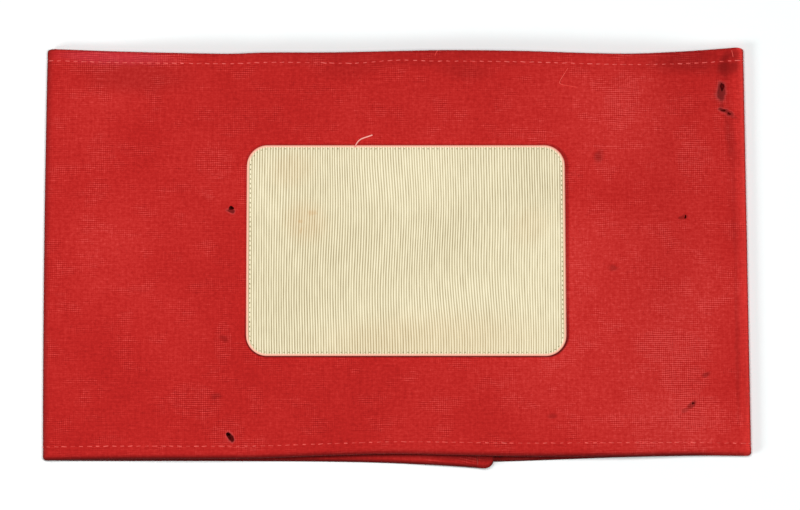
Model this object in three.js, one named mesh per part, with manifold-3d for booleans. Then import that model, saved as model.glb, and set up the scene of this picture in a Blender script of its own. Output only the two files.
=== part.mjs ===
// A cloth armband lying flat. One strip of red woollen cloth, hemmed along both long edges, is folded
// into a flat loop, and its ends are lapped and sewn at the back. A blank ribbed label is sewn on its front.
// Millimetres. The back rests on z = 0, +X runs along the strip and +Y to the band's upper edge.
import * as THREE from "three";
import { mergeVertices } from "three/addons/utils/BufferGeometryUtils.js";
import Module from "manifold-3d";

const wasm = await Module();
wasm.setup();

// Cloth
const clothThick = 1.0;
const hemThick = 2 * clothThick;
const hemDepth = 5.0;
const sewnGap = 0.3;
const edgeRound = 0.6;

// The flat loop, seen from its lower edge
const halfLength = 100.9;
const foldRadius = 2.3;
const middleRise = 4.4;
const riseRun = 36;

// How much shorter the loop is at its upper edge than at its lower edge, at each side
const taperLeft = 1.4;
const taperRight = 2.3;
const lowestEdge = -57.1;
const taperRun = 116.9;

// The lap at the back: the under end starts at underEnd, and the upper end stops at upperEnd
const underEnd = 13;
const upperEnd = 27.6;
const lapRampStart = -4;
const turnedEnd = 5.0;
const lapCorner = 3.0;

// The label on the front
const label = { x: 2.9, y: 2.0, halfWidth: 46, halfHeight: 30, corner: 6, thick: 1.0 };

// The strip's long edges, where it lies. Each row is a place along x with its lower and upper edge.
const frontEdges = [
  { x: -100.9, lower: -57.1, upper: 59.6 },
  { x: -79, lower: -57.0, upper: 59.0 },
  { x: -49, lower: -56.8, upper: 58.4 },
  { x: -20, lower: -56.1, upper: 58.6 },
  { x: -2, lower: -55.3, upper: 59.0 },
  { x: 15, lower: -55.9, upper: 59.3 },
  { x: 35, lower: -56.5, upper: 59.1 },
  { x: 66, lower: -56.2, upper: 58.4 },
  { x: 84, lower: -56.0, upper: 59.0 },
  { x: 100.9, lower: -56.1, upper: 59.85 },
];
const backLeftEdges = [
  { x: -100.9, lower: -57.1, upper: 59.6 },
  { x: -90, lower: -57.5, upper: 58.4 },
  { x: -45, lower: -57.6, upper: 57.9 },
  { x: -19, lower: -57.9, upper: 57.6 },
  { x: -2, lower: -58.3, upper: 57.2 },
  { x: 15, lower: -59.1, upper: 56.4 },
  { x: 27.6, lower: -59.9, upper: 55.6 },
];
const backRightEdges = [
  { x: 10, lower: -58.1, upper: 57.4 },
  { x: 30, lower: -57.9, upper: 57.5 },
  { x: 49, lower: -57.0, upper: 58.2 },
  { x: 66, lower: -56.4, upper: 58.2 },
  { x: 90, lower: -56.2, upper: 58.8 },
  { x: 100.9, lower: -56.1, upper: 59.85 },
];

// Moth holes through the front. Turn is in degrees from +X.
const mothHoles = [
  { x: 92.2, y: 46.7, long: 5.6, wide: 2.2, turn: 84 },
  { x: 93.6, y: 41.2, long: 4.0, wide: 0.9, turn: -32 },
  { x: -47.2, y: 13.5, long: 1.8, wide: 1.2, turn: 10 },
  { x: -47.7, y: -51.3, long: 2.5, wide: 1.5, turn: -70 },
  { x: 81.8, y: 11.5, long: 1.7, wide: 0.9, turn: 15 },
  { x: 84.1, y: -41.8, long: 1.9, wide: 0.9, turn: 35 },
];
const holeSides = 9;
const holeOvershoot = 1;
const holeRagged = { threefold: 0.14, twofold: 0.08 };

// Where the sheet is divided, as insets from each long edge and as shares of the cloth between them
const hemStep = 0.15;
const edgeInsets = [edgeRound, hemDepth - hemStep, hemDepth + hemStep, 8, 11];
const middleShares = [0.25, 0.5, 0.75];
const lapLiftInset = 8;

const foldSteps = 8;
const frontSteps = 40;
const backLeftSteps = 22;
const lapSteps = 6;
const backRightSteps = 16;
const lapFlatSteps = 2;
const cornerSteps = 4;
const labelSteps = 10;
const mergeDistance = 1e-4;

const clamp01 = (v) => Math.min(1, Math.max(0, v));
const smooth = (v) => clamp01(v) ** 2 * (3 - 2 * clamp01(v));
const mix = (a, b, share) => a + (b - a) * share;
const evenly = (from, to, steps) =>
  Array.from({ length: steps + 1 }, (_, i) => mix(from, to, i / steps));

// A column of a table at x, on a smooth curve through the rows.
function along(rows, column, x) {
  const last = rows.length - 1;
  const at = Math.min(last - 1, Math.max(0, rows.findLastIndex((row) => row.x <= x)));
  const slope = (i) => {
    const a = rows[Math.max(0, i - 1)];
    const b = rows[Math.min(last, i + 1)];
    return (b[column] - a[column]) / (b.x - a.x);
  };
  const [p, q] = [rows[at], rows[at + 1]];
  const run = q.x - p.x;
  const t = clamp01((x - p.x) / run);
  const bend = t * t * (3 - 2 * t);
  return (
    mix(p[column], q[column], bend) +
    run * slope(at) * t * (1 - t) ** 2 -
    run * slope(at + 1) * (1 - t) * t ** 2
  );
}

// The loop is a little shorter towards its upper edge, so x closes in there.
function tapered(x, y) {
  const up = clamp01((y - lowestEdge) / taperRun);
  const shrink = x < 0 ? taperLeft * up * up : taperRight * up;
  return x * (1 - shrink / halfLength);
}

// A round corner, from the end inwards: distances from the end, and how far the edge draws in there.
function roundCorner(radius) {
  return evenly(0, Math.PI / 2, cornerSteps).map((angle) => ({
    fromEnd: radius * (1 - Math.cos(angle)),
    inset: radius * (1 - Math.sin(angle)),
  }));
}

const foldCentre = halfLength - foldRadius;

function frontHeight(x) {
  return 2 * foldRadius + middleRise * smooth((foldCentre - Math.abs(x)) / riseRun);
}

function edgesAt(rows, x, inset = 0) {
  return { lower: along(rows, "lower", x) + inset, upper: along(rows, "upper", x) - inset };
}

// One place along the strip: where its outer face runs in x and z, and its long edges there.
function station(x, z, edges, more = {}) {
  return { x, z, lap: 0, thick: clothThick, ...edges, ...more };
}

function foldStations(side, fromRows, toRows, fromAngle) {
  const middle = side * foldCentre;
  const from = edgesAt(fromRows, middle);
  const to = edgesAt(toRows, middle);
  return evenly(0, 1, foldSteps)
    .slice(1, -1)
    .map((share) => {
      const angle = fromAngle + share * Math.PI;
      const x = middle + foldRadius * Math.cos(angle);
      const z = foldRadius + foldRadius * Math.sin(angle);
      const turned = smooth(share);
      return station(x, z, {
        lower: mix(from.lower, to.lower, turned),
        upper: mix(from.upper, to.upper, turned),
      });
    });
}

// The upper end is turned under, so it is two cloths thick, and its corners are round.
function turnedEndStation(fromEnd, inset) {
  const x = upperEnd - fromEnd;
  return station(x, 0, edgesAt(backLeftEdges, x, inset), { lap: 1, thick: hemThick });
}

// The whole strip, from its under end round the right fold, the front and the left fold to its upper end.
function stripStations() {
  const lapStart = underEnd - sewnGap;
  const lapShare = (x) => smooth((x - lapRampStart) / (lapStart - lapRampStart));
  return [
    ...evenly(underEnd, foldCentre, backRightSteps).map((x) => station(x, 0, edgesAt(backRightEdges, x))),
    ...foldStations(1, backRightEdges, frontEdges, -Math.PI / 2),
    ...evenly(foldCentre, -foldCentre, frontSteps).map((x) =>
      station(x, frontHeight(x), edgesAt(frontEdges, x)),
    ),
    ...foldStations(-1, frontEdges, backLeftEdges, Math.PI / 2),
    ...evenly(-foldCentre, lapRampStart, backLeftSteps).map((x) => station(x, 0, edgesAt(backLeftEdges, x))),
    ...evenly(lapRampStart, lapStart, lapSteps)
      .slice(1)
      .map((x) => station(x, 0, edgesAt(backLeftEdges, x), { lap: lapShare(x) })),
    ...evenly(lapStart, upperEnd - turnedEnd, lapFlatSteps)
      .slice(1)
      .map((x) => station(x, 0, edgesAt(backLeftEdges, x), { lap: 1 })),
    turnedEndStation(turnedEnd - hemStep, 0),
    ...roundCorner(lapCorner)
      .toReversed()
      .map(({ fromEnd, inset }) => turnedEndStation(fromEnd, inset)),
  ];
}

// Where the sheet's columns lie across a station, each with its inset from the nearer edge.
function columnsOf({ lower, upper }) {
  const wide = upper - lower;
  const deepest = edgeInsets[edgeInsets.length - 1];
  return [
    ...edgeInsets.map((inset) => ({ y: lower + inset, inset })),
    ...middleShares.map((share) => ({ y: mix(lower + deepest, upper - deepest, share), inset: wide / 2 })),
    ...edgeInsets.toReversed().map((inset) => ({ y: upper - inset, inset })),
  ];
}

// A ring of points round the cloth at one station: outer face, upper rim, inner face and lower rim.
function ringOf(here, before, after) {
  const run = new THREE.Vector2(after.x - before.x, after.z - before.z).normalize();
  const outward = new THREE.Vector2(run.y, -run.x);
  const lapLift = (inset) => here.lap * (sewnGap + (inset <= lapLiftInset ? hemThick : clothThick));
  const point = (y, inset, depth) => {
    const x = here.x - outward.x * depth;
    return new THREE.Vector3(tapered(x, y), y, here.z + lapLift(inset) - outward.y * depth);
  };
  const thick = (inset) => (inset < hemDepth ? hemThick : here.thick);
  const columns = columnsOf(here);
  return [
    ...columns.map(({ y, inset }) => point(y, inset, 0)),
    point(here.upper, 0, hemThick / 2),
    ...columns.toReversed().map(({ y, inset }) => point(y, inset, thick(inset))),
    point(here.lower, 0, hemThick / 2),
  ];
}

// A closed solid through a row of rings. Each ring runs over one face, a rim, the other face and a rim.
function solidThrough(rings) {
  const count = rings[0].length;
  const face = count / 2 - 1;
  const triangles = [];
  const at = (ring, i) => ring * count + (i % count);
  for (let ring = 0; ring + 1 < rings.length; ring++)
    for (let i = 0; i < count; i++) {
      triangles.push(at(ring, i), at(ring, i + 1), at(ring + 1, i + 1));
      triangles.push(at(ring, i), at(ring + 1, i + 1), at(ring + 1, i));
    }
  const cap = (ring, flip) => {
    const add = (a, b, c) => triangles.push(...(flip ? [a, c, b] : [a, b, c]).map((i) => at(ring, i)));
    for (let i = 0; i + 1 < face; i++) {
      add(i, count - 2 - i, i + 1);
      add(i + 1, count - 2 - i, count - 3 - i);
    }
    add(face - 1, face + 1, face);
    add(0, count - 1, count - 2);
  };
  cap(0, false);
  cap(rings.length - 1, true);
  const geometry = new THREE.BufferGeometry();
  const places = rings.flat().flatMap((point) => point.toArray());
  geometry.setAttribute("position", new THREE.Float32BufferAttribute(places, 3));
  geometry.setIndex(triangles);
  return geometry;
}

function bandGeometry() {
  const stations = stripStations();
  const rings = stations.map((here, i) =>
    ringOf(here, stations[Math.max(0, i - 1)], stations[Math.min(stations.length - 1, i + 1)]),
  );
  return solidThrough(rings);
}

// A prism with an uneven round outline that cuts a moth hole through the front only.
function holeCutter({ x, y, long, wide, turn }) {
  const { threefold, twofold } = holeRagged;
  const rim = evenly(0, 2 * Math.PI, holeSides)
    .slice(1)
    .map((angle) => {
      const reach = 1 + threefold * Math.sin(3 * angle + x) + twofold * Math.cos(2 * angle + y);
      const oval = new THREE.Vector2((long / 2) * Math.cos(angle), (wide / 2) * Math.sin(angle));
      return oval.multiplyScalar(reach);
    });
  const bottom = frontHeight(x) - clothThick - holeOvershoot;
  const depth = clothThick + 2 * holeOvershoot;
  return new THREE.ExtrudeGeometry(new THREE.Shape(rim), { depth, bevelEnabled: false })
    .rotateZ(THREE.MathUtils.degToRad(turn))
    .translate(x, y, bottom);
}

function solidOf(geometry) {
  const bare = geometry.clone();
  bare.deleteAttribute("normal");
  bare.deleteAttribute("uv");
  const merged = mergeVertices(bare, mergeDistance);
  return new wasm.Manifold(
    new wasm.Mesh({
      numProp: 3,
      vertProperties: new Float32Array(merged.attributes.position.array),
      triVerts: new Uint32Array(merged.index.array),
    }),
  );
}

function geometryOf(solid) {
  const { vertProperties, triVerts } = solid.getMesh();
  const geometry = new THREE.BufferGeometry();
  geometry.setAttribute("position", new THREE.Float32BufferAttribute(vertProperties, 3));
  geometry.setIndex(new THREE.BufferAttribute(triVerts, 1));
  geometry.computeVertexNormals();
  return geometry;
}

function moth(geometry) {
  const cut = (solid, hole) => solid.subtract(solidOf(holeCutter(hole)));
  return geometryOf(mothHoles.reduce(cut, solidOf(geometry)));
}

// The label lies on the front, a sewn gap above it, with round corners.
function labelGeometry() {
  const { x: middle, y: level, halfWidth, halfHeight, corner, thick } = label;
  const corners = roundCorner(corner);
  const between = evenly(corner - halfWidth, halfWidth - corner, labelSteps).slice(1, -1);
  const sections = [
    ...corners.map(({ fromEnd, inset }) => ({ x: middle - halfWidth + fromEnd, half: halfHeight - inset })),
    ...between.map((place) => ({ x: middle + place, half: halfHeight })),
    ...corners
      .toReversed()
      .map(({ fromEnd, inset }) => ({ x: middle + halfWidth - fromEnd, half: halfHeight - inset })),
  ];
  const rings = sections.map(({ x, half }) => {
    const point = (y, height) =>
      new THREE.Vector3(tapered(x, level + y), level + y, frontHeight(x) + sewnGap + height);
    const flat = half - thick / 4;
    const ys = [-flat, -half / 2, 0, half / 2, flat];
    return [
      ...ys.map((y) => point(y, 0)),
      point(half, thick / 2),
      ...ys.toReversed().map((y) => point(y, thick)),
      point(-half, thick / 2),
    ];
  });
  return solidThrough(rings);
}

function cloth(name, geometry, color, roughness) {
  const material = new THREE.MeshStandardMaterial({ color, roughness, metalness: 0 });
  const mesh = new THREE.Mesh(geometry, material);
  mesh.name = name;
  return mesh;
}

const armband = new THREE.Group();
armband.add(cloth("band", moth(bandGeometry()), "#c22b28", 0.95));
armband.add(cloth("patch", labelGeometry(), "#e6dab6", 0.85));

export default armband;
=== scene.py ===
# A cloth armband that lies flat with its front up. A hemmed strip of red woollen cloth is folded into a
# loop, lapped and sewn at the back, and a blank label of cream ribbed cloth is sewn on its front.
# The frame is in metres. Sizes of cloth and thread are written in millimetres, and MM turns them to metres.
import math
import random
from typing import NamedTuple

import bpy
import numpy as np
from mathutils import Matrix, Vector, noise


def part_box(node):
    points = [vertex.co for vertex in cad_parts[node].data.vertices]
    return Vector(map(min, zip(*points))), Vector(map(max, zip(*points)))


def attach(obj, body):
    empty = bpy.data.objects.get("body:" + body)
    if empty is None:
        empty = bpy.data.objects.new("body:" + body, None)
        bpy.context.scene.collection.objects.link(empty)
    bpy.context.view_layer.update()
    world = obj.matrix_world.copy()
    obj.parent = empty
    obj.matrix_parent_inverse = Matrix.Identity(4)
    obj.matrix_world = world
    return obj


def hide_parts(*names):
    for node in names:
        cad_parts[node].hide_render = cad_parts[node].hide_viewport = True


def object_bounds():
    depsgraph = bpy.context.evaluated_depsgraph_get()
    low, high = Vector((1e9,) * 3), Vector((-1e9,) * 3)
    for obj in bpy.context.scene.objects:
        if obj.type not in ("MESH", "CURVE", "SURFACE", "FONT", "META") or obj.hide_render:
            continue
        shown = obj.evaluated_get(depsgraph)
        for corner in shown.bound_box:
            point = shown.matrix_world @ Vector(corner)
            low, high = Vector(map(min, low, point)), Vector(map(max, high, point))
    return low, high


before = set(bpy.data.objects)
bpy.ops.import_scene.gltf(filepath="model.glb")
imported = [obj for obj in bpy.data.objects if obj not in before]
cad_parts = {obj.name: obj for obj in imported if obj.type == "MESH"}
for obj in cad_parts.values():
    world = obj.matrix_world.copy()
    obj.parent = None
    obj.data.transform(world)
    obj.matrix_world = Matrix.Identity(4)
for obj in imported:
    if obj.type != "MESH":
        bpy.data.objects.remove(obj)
solid_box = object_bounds()

MM = 0.001

# The photograph's frame and the armband's outline in it, in pixels
PHOTO_WIDTH, PHOTO_HEIGHT = 800, 510
OUTLINE_LEFT, OUTLINE_RIGHT, OUTLINE_TOP = 43, 751, 48
CAMERA_DISTANCE = 6.0
SENSOR_WIDTH = 36.0

# The woollen cloth and its hems
CLOTH = 0.8
HEM_FOLD = 0.5
HEM_DEPTH = 5.0
HEM_STITCH = 3.4
HEM_LAYERS = 2 * (HEM_FOLD + CLOTH / 2)
STITCH_PITCH = 2.36
SUNK_STITCH, SUNK_TURNED = 0.34, 0.1
GROOVE_REACH = 0.6
FRONT_CREASE_X, CREASE_DEPTH, CREASE_WIDTH = 96.9, 0.18, 1.0

# The flat loop. Its sizes are its solid's, but it rises more softly from the folds.
HALF_LENGTH = 100.9
FOLD_RADIUS = 2.3
FOLD_CENTRE = HALF_LENGTH - FOLD_RADIUS
MIDDLE_RISE = 4.4
RISE_RUN = 42.0
TAPER_LEFT, TAPER_RIGHT = 1.4, 2.3
LOWEST_EDGE = -57.1
TAPER_RUN = 116.9
# Above this height a place is on the front
FRONT_FROM = 4.0

# The lap at the back
UNDER_END = 13.0
UPPER_END = 27.6
LAP_START = -4.0
LAP_GAP = 0.15
TURNED_END = 5.0
LAP_CORNER = 3.0
LAP_SEAM = UPPER_END - 4.6
SEAM_INSET = 1.8
SEAM_GROOVE = 0.12
SUNK_SEAM = 0.1

# How finely the cloth is divided
FRONT_STEP = STITCH_PITCH / 4
BACK_STEP = STITCH_PITCH / 2
FOLD_STEPS = 14
CORNER_STEPS = 9
FIELD_STEPS = 33
HEM_FOLD_STEPS = 6
HOLE_SIDES = 36
HOLE_REACH = 3.0
SHARP_EDGE = math.radians(50)

# The label, placed and sized as its solid is
label_low, label_high = (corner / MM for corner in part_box("patch"))
LABEL_X, LABEL_Y = (label_low.x + label_high.x) / 2, (label_low.y + label_high.y) / 2
LABEL_HALF_WIDTH, LABEL_HALF_HEIGHT = (label_high.x - label_low.x) / 2, (label_high.y - label_low.y) / 2
LABEL_THICK = label_high.z - label_low.z
LABEL_BED = 0.1
LABEL_CORNER = 6.0
LABEL_ROUND = 0.3
LABEL_RIM = 0.55
LABEL_STITCH = 1.05
LABEL_GROOVE = 0.14
LABEL_ROWS = 26
LABEL_EDGE_ROWS = 0, 0.08, 0.2, 0.38, 0.65, LABEL_STITCH, 1.45, 2.1
LABEL_LINE_POINTS = 400
RIB_PITCH = 0.745
RIB_COLUMNS = 6
RIB_RISE = 0.11
RIB_WANDER = 0.8

# Seeds for what lies at random
UPPER_SEED, LOWER_SEED, LAP_SEED, LABEL_SEED = 7, 8, 12, 21
FRAY_SEED, NAP_SEED = 4, 31

# Fibres
FRAYS_PER_MM = 0.7
FRAY_RADIUS, HAIR_RADIUS, LABEL_THREAD_RADIUS = 0.03, 0.08, 0.21
NAP_LENGTH, NAP_RADIUS = 0.9, 0.018
NAP_PER_SQUARE_METRE = 1.35e5

# Patterns in the cloth
WEAVE_PITCH = 0.6
FELT_MOTTLE = 0.8
WORN_PATCH = 5.5
THREAD_DRIFT, DRIFT_REACH = 0.9, 7
STAIN_SWING, STAIN_GRAIN = 1.6, 2.2
CLOTH_TONE, LABEL_TONE = 30, 26
# The label's fine crossing threads are about 0.2 mm apart, and are drawn wider so that they show
CROSSING_PITCH = 0.4


def table(kind, *rows):
    """A table. Its columns are the kind's fields, in their order."""
    return [kind(*row) for row in rows]


class Edge(NamedTuple):
    """Where the strip's two long edges lie, at a place along x."""

    x: float
    lower: float
    upper: float


FRONT_EDGES = table(
    Edge,
    (-100.9, -57.85, 59.45),
    (-79, -57.45, 58.65),
    (-49, -57.25, 58.0),
    (-38, -57.05, 58.35),
    (-20, -56.35, 58.4),
    (-2, -55.85, 58.75),
    (15, -56.15, 59.05),
    (35, -56.6, 58.85),
    (66, -56.6, 58.05),
    (84, -56.35, 58.75),
    (100.9, -56.5, 60.0),
)
BACK_LEFT_EDGES = table(
    Edge,
    (-100.9, -57.85, 59.45),
    (-90, -57.95, 58.3),
    (-45, -58.0, 57.6),
    (-19, -58.15, 57.5),
    (-2, -58.55, 57.1),
    (15, -59.35, 56.3),
    (27.6, -60.3, 55.4),
)
BACK_RIGHT_EDGES = table(
    Edge,
    (10, -58.3, 57.3),
    (30, -58.1, 57.4),
    (49, -57.45, 57.9),
    (66, -56.85, 57.7),
    (90, -56.4, 58.6),
    (100.9, -56.5, 59.75),
)
# How far in from the two edges the hems are sewn
HEM_ROWS = table(
    Edge,
    (-100.9, 3.9, 3.3),
    (-79, 3.78, 3.15),
    (-55, 3.62, 2.85),
    (-25, 3.4, 2.85),
    (-12, 3.35, 3.2),
    (0, 3.45, 2.6),
    (12, 3.6, 3.1),
    (55, 3.95, 3.05),
    (70, 3.9, 3.15),
    (84, 3.7, 3.5),
    (100.9, 3.55, 3.7),
)


class Hole(NamedTuple):
    """A moth hole in the front: its middle, its size and its turn from +X in degrees."""

    x: float
    y: float
    long: float
    wide: float
    turn: float


MOTH_HOLES = table(
    Hole,
    (92.6, 48.6, 2.3, 1.15, 82),
    (92.9, 41.9, 1.5, 0.5, -8),
    (94.6, 41.0, 1.2, 0.5, -28),
    (-47.2, 14.1, 1.5, 1.1, 10),
    (-47.9, -50.6, 1.8, 1.3, -62),
    (82.1, 11.6, 1.1, 0.5, 76),
    (84.3, -41.5, 0.9, 0.5, 35),
)


class Stain(NamedTuple):
    """A place that differs: its middle, its reach each way, its turn in degrees and its strength."""

    x: float
    y: float
    long: float
    wide: float
    turn: float
    strength: float


# Soiled places, and in three long thin rows up the right end the painted shade of the crease by its fold
SOILED_AND_SHADED_PLACES = table(
    Stain,
    (0.0, 58.0, 62.0, 5.5, 0, 0.2),
    (-14.0, 53.5, 14.0, 4.0, 4, 0.14),
    (19.0, 53.5, 12.0, 4.0, -5, 0.18),
    (-75.0, 51.5, 22.0, 7.0, -2, 0.2),
    (85.0, 56.4, 18.0, 5.5, 3, 0.36),
    (88.0, 53.6, 9.0, 2.6, -4, 0.2),
    (95.0, 55.8, 7.0, 4.8, 50, 1.0),
    (92.4, 43.2, 1.6, 1.1, 60, 0.6),
    (92.2, 46.9, 4.8, 2.5, 86, 0.4),
    # These three rows are painted shade in the crease near the right fold
    (95.1, 34.0, 13.0, 2.2, 98, 0.45),
    (96.3, 12.0, 26.0, 1.5, 92, 0.36),
    (97.0, -22.0, 34.0, 1.3, 91, 0.34),
    (88.1, -33.3, 2.0, 1.1, 20, 0.5),
    (61.6, -2.8, 2.2, 1.3, 0, 0.4),
    (57.3, 28.8, 2.6, 2.0, 60, 0.45),
    (44.2, -45.0, 2.0, 1.2, 0, 0.35),
    (-49.3, -23.1, 2.2, 1.4, -30, 0.35),
    (-51.6, -39.6, 2.6, 1.2, 10, 0.35),
)
# Where moths have eaten the nap round their holes, and thinned the cloth
EATEN_PLACES = table(
    Stain,
    (92.3, 47.1, 3.5, 1.5, 86, 1.0),
    (93.0, 41.9, 1.8, 0.75, -10, 1.0),
    (94.7, 41.0, 1.7, 0.8, -26, 1.0),
    (95.9, 40.0, 1.4, 0.7, -20, 0.6),
    (-47.3, 13.3, 1.4, 0.8, -5, 0.75),
    (-47.5, -51.2, 1.75, 1.05, -52, 1.0),
    (94.6, 55.3, 4.6, 3.2, 50, 0.3),
    (81.9, 11.5, 1.4, 0.8, 30, 0.4),
    (81.0, 11.3, 1.3, 0.7, -10, 0.45),
    (84.0, -41.9, 2.0, 1.0, 35, 0.5),
    (82.0, -43.5, 1.5, 0.7, 20, 0.25),
)
# Round what is eaten, the cut ends of the yarns stand up a little paler
CUT_ENDS = [
    stain._replace(long=stain.long + 0.4, wide=stain.wide + 0.4, strength=0.45)
    for stain in EATEN_PLACES
    if stain.strength > 0.7
]
FADED_PLACES = table(
    Stain,
    (-82.0, 57.0, 24.0, 3.0, -2, 0.22),
    (-70.5, 56.8, 4.0, 1.2, -4, 0.2),
)
SUN_BLEACHED = table(
    Stain,
    (80.0, -46.0, 45.0, 17.0, 4, 0.5),
    (70.0, -12.0, 60.0, 60.0, 0, 0.4),
    (62.0, 36.0, 44.0, 34.0, -8, 0.42),
    (-90.0, 18.0, 24.0, 44.0, 0, 0.3),
)
# Where the nap is worn off the front, and the weave shows
WORN_PLACES = table(
    Stain,
    (-89.0, 56.0, 13.0, 5.0, -3, 1.0),
    (-67.5, 57.0, 10.0, 3.6, -2, 1.0),
    (-96.5, 51.0, 4.5, 7.5, 0, 0.7),
    (-96.5, 26.0, 4.5, 9.0, 0, 0.7),
    (-84.0, 30.0, 5.0, 7.5, 10, 0.7),
    (-52.0, 27.0, 7.0, 6.5, -20, 0.8),
    (-43.5, 39.5, 5.0, 5.5, 0, 0.6),
    (-49.5, -24.5, 3.2, 8.0, 0, 0.9),
    (-57.5, -41.0, 10.0, 6.5, -12, 0.95),
    (-48.5, -50.0, 6.5, 5.0, 0, 0.9),
    (64.0, 44.5, 6.5, 11.0, -8, 0.85),
    (81.5, 43.5, 7.0, 4.0, 10, 0.7),
    (93.5, 40.0, 4.5, 9.0, 0, 0.85),
    (84.5, 28.5, 6.0, 7.5, -20, 0.9),
    (95.5, 27.0, 5.0, 7.0, 0, 0.7),
    (78.5, -25.5, 14.0, 6.5, -6, 0.95),
    (82.0, -34.5, 9.0, 6.0, 0, 1.0),
    (83.5, -43.5, 6.0, 8.0, 10, 1.0),
    (92.5, -46.5, 5.0, 4.5, 0, 0.8),
)
LABEL_STAINS = table(
    Stain,
    (-24.2, 12.6, 2.4, 1.5, 10, 0.45),
    (-27.6, 10.3, 1.6, 0.8, -15, 0.5),
    (-27.3, 7.6, 1.5, 0.7, 80, 0.45),
    (-26.0, 10.0, 9.0, 8.0, -30, 0.22),
    (-30.0, 25.0, 9.0, 7.0, 20, 0.14),
    (10.0, -24.0, 46.0, 12.0, 3, 0.16),
    (38.0, 9.0, 9.0, 7.0, 40, 0.1),
)
# Painted shade on the inside of the loop under each moth hole, so that what is seen through it is dark
MOTH_HOLE_SHADE = [
    Stain(hole.x, hole.y, 0.8 * hole.long + 0.6, 0.8 * hole.wide + 0.6, hole.turn, strength=0.95)
    for hole in MOTH_HOLES
]


class Stitch(NamedTuple):
    """A kind of stitch: how far apart and how long it is, its thread's radius, how far it bows above the
    cloth and dips into it, and how far askew it may lie, in degrees."""

    pitch: float
    length: float
    radius: float
    rise: float
    dip: float
    skew: float


HEM_STITCHES = Stitch(STITCH_PITCH, length=1.6, radius=0.145, rise=0.1, dip=0.2, skew=8)
LAP_STITCHES = Stitch(STITCH_PITCH, length=1.9, radius=0.2, rise=0.1, dip=0.2, skew=7)
LABEL_STITCHES = Stitch(1.35, length=0.62, radius=0.13, rise=0.02, dip=0.14, skew=22)

# Loose threads, each a line of x, y and height above the front
LABEL_THREAD = [
    [(-12.0, 31.4, 1.25), (-11.4, 32.9, 0.7), (-10.2, 34.0, 0.35), (-8.6, 34.3, 0.3), (-7.0, 34.9, 0.3)],
]
LOOSE_HAIRS = [
    [
        *((48.6, 53.9, 0.1), (47.6, 52.3, 0.25), (46.7, 50.9, 0.3), (46.3, 50.2, 0.3)),
        *((46.2, 49.5, 0.25), (46.9, 49.3, 0.2), (48.6, 48.9, 0.25), (50.9, 48.6, 0.1)),
    ],
    [(95.3, 59.0, 0.05), (95.5, 58.2, 0.25), (95.7, 57.2, 0.05)],
    [(10.8, 57.5, 0.05), (11.0, 58.1, 0.3), (11.5, 58.9, 0.1)],
]


class Waves(NamedTuple):
    """Low random waves in the cloth: their height, how far apart they are and their seed."""

    height: float
    reach: float
    seed: float

    def at(self, x, y):
        return self.height * hills(x, y, self.reach, self.seed)


LONG_WAVES, SHORT_WAVES = Waves(0.28, 42, 3.1), Waves(0.12, 17, 8.4)
EDGE_WAVES, EDGE_FADE = Waves(0.16, 9, 5.5), 9.0
GROOVE_WAVES = Waves(0.5, 2.2, 2.9)
RIB_WAVES, FINE_RIB_WAVES = Waves(RIB_WANDER, 26, 11.3), Waves(0.05, 7, 4.7)
BACK_SETTLES, BACK_HILLS = 0.16, Waves(1.0, 30, 21.7)


class Softbox(NamedTuple):
    """A soft lamp: the direction that it stands in, its distance, its two sizes and its power."""

    toward: tuple
    distance: float
    length: float
    width: float
    power: float


# The key is long, narrow and overhead. The fill comes from the lower left and leaves a soft pale shadow on
# the board, above and right of the band.
SOFTBOXES = {
    "key": Softbox((0.02, 0.05, 1.0), distance=1.5, length=0.6, width=0.06, power=17.5),
    "fill": Softbox((-1.0, -0.46, 1.0), distance=1.5, length=0.5, width=0.5, power=7.7),
}
SKY_STRENGTH = 0.14


# Nodes, materials and meshes

NODE_FAMILIES = ("ShaderNode", "GeometryNode", "FunctionNode", "Node")
SOCKET_KINDS = {"Geometry": "Geometry", "Seed": "Int", "Material": "Material"}


def srgb(text):
    """A colour written as sRGB hex, in the linear values that a shader takes."""
    parts = [int(text[i : i + 2], 16) / 255 for i in (1, 3, 5)]
    linear = [c / 12.92 if c <= 0.04045 else ((c + 0.055) / 1.055) ** 2.4 for c in parts]
    return (*linear, 1.0)


def first_output(node):
    return next(output for output in node.outputs if output.enabled)


def add(tree, kind, inputs=(), **settings):
    """Adds a node. Its kind is written without its family. Its inputs are listed in order, or are named, and
    each takes a value, a socket or a node's first output."""
    family = next(family for family in NODE_FAMILIES if hasattr(bpy.types, family + kind))
    made = tree.nodes.new(family + kind)
    for name, value in settings.items():
        setattr(made, name, value)
    sockets = [socket for socket in made.inputs if socket.enabled]
    for key, value in inputs.items() if isinstance(inputs, dict) else enumerate(inputs):
        socket = sockets[key] if isinstance(key, int) else next(s for s in sockets if s.name == key)
        if isinstance(value, bpy.types.Node):
            value = first_output(value)
        if isinstance(value, bpy.types.NodeSocket):
            tree.links.new(value, socket)
        else:
            socket.default_value = value
    return made


def span(value, low, high, to_low=0.0, to_high=1.0):
    """The inputs that map a value from one range to another."""
    return {"Value": value, "From Min": low, "From Max": high, "To Min": to_low, "To Max": to_high}


def set_stops(ramp, first, last, *between):
    """Sets the stops of a new colour ramp, each a place and a colour."""
    for stop, (place, colour) in zip(ramp.elements, (first, last)):
        stop.position, stop.color = place, srgb(colour)
    for place, colour in between:
        ramp.elements.new(place).color = srgb(colour)


def new_material(name, sockets):
    """A material with a Principled shader, and the values that are the same all over its surface. Gives it,
    its tree and the coordinates of places in the object."""
    material = bpy.data.materials.new(name)
    material.use_nodes = True
    tree = material.node_tree
    for socket, value in sockets.items():
        tree.nodes["Principled BSDF"].inputs[socket].default_value = value
    return material, tree, add(tree, "TexCoord").outputs["Object"]


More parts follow.
